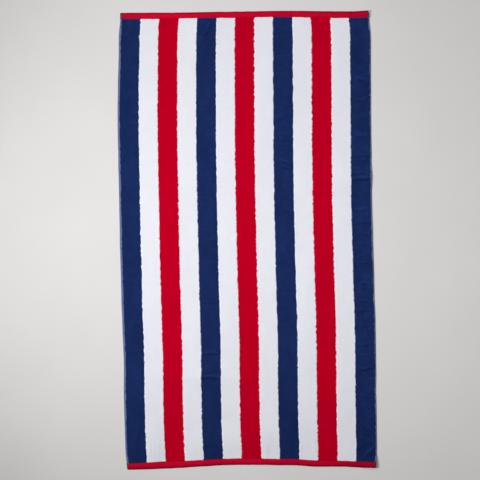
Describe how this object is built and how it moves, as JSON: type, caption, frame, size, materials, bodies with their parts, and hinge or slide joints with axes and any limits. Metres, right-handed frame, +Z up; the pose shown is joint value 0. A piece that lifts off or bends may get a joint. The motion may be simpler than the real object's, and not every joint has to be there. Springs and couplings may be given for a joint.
{
  "type": "beach towel",
  "caption": "Rectangular striped terry beach towel laid out flat, with plain selvages along the sides and a woven hem across each end.",
  "frame": {"origin": "on the surface that the towel lies on, under the middle of its outline", "axes": "+X across the towel to its right, +Y along the towel from the foot hem to the head hem, +Z up out of the pile face"},
  "size_m": [1.0246, 1.8435, 0.0086],
  "materials": {
    "terry_white": "matte sheared cotton pile, bluish white",
    "terry_navy": "matte sheared cotton pile, navy blue",
    "terry_red": "matte sheared cotton pile, clear red",
    "hem_red": "matte flat cotton weave, red",
    "selvage_blue": "matte flat cotton weave, navy warp on white weft",
    "thread_red": "twisted sewing thread, slightly lustrous"
  },
  "bodies": {
    "root": {"towel": "terry_white"}
  },
  "joints": []
}
